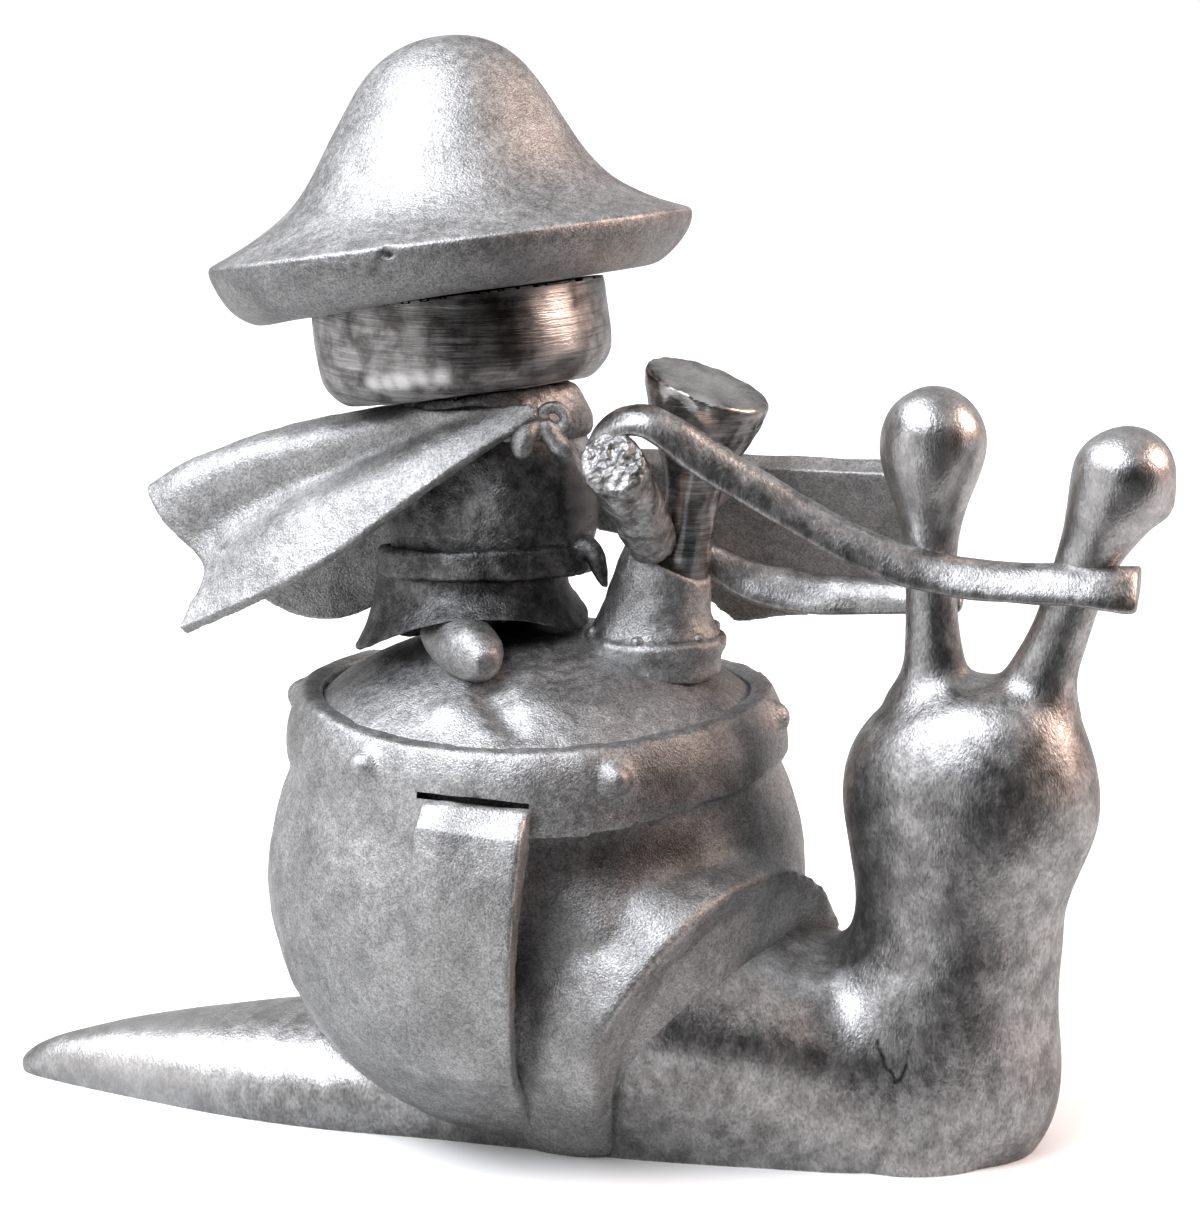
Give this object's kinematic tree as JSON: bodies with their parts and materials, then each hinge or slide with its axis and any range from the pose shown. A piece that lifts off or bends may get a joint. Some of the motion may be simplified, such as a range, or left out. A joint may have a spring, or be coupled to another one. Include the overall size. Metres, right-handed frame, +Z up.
{
  "type": "snail figurine",
  "caption": "Cast metal figurine of a snail that carries a round banded shell with a caped, hatted rider, reins and a horn post; head and hat turn on pins.",
  "frame": {"origin": "on the ground under the middle of the round shell, on the flat sole", "axes": "+X the way the snail heads, +Y its left side, +Z up"},
  "size_m": [0.0791, 0.0394, 0.0722],
  "materials": {
    "cast_aluminium": "sand cast grain",
    "satin_aluminium": "smooth cast, satin",
    "filed_aluminium": "filed bright",
    "steel": "plain"
  },
  "bodies": {
    "snail": {"snail_body": "satin_aluminium", "eye_stalk_rear": "satin_aluminium", "eye_stalk_front": "satin_aluminium", "shell_pot": "cast_aluminium", "shell_cap": "cast_aluminium", "shell_band": "cast_aluminium", "band_rivets": "cast_aluminium", "shell_hood": "cast_aluminium", "girth_strap_right": "cast_aluminium", "girth_strap_left": "cast_aluminium", "rider_skirt": "cast_aluminium", "rider_belt": "cast_aluminium", "rider_torso": "cast_aluminium", "scarf_ring": "cast_aluminium", "rider_cape": "cast_aluminium", "boot_right": "cast_aluminium", "boot_left": "cast_aluminium", "column_flange": "cast_aluminium", "flange_rivets": "cast_aluminium", "column_socket": "cast_aluminium", "horn_post": "filed_aluminium", "rein_peg": "filed_aluminium", "rein_right": "satin_aluminium", "rein_left": "satin_aluminium", "side_board": "cast_aluminium", "board_peg": "cast_aluminium", "rider_stud": "steel", "rider_nut": "steel", "neck_pin": "steel", "base_screws": "steel"},
    "head": {"rider_head": "filed_aluminium", "hat_pin": "steel"},
    "hat": {"rider_hat": "cast_aluminium"}
  },
  "joints": [
    {"name": "head_turn", "type": "hinge", "parent": "snail", "child": "head", "pos_m": [-0.0046, 0.0005, 0.04875], "axis": [-0.1564, 0.1032, 0.9823], "continuous": true},
    {"name": "hat_spin", "type": "hinge", "parent": "head", "child": "hat", "pos_m": [-0.00564, 0.00119, 0.05528], "axis": [-0.1564, 0.1032, 0.9823], "continuous": true}
  ]
}
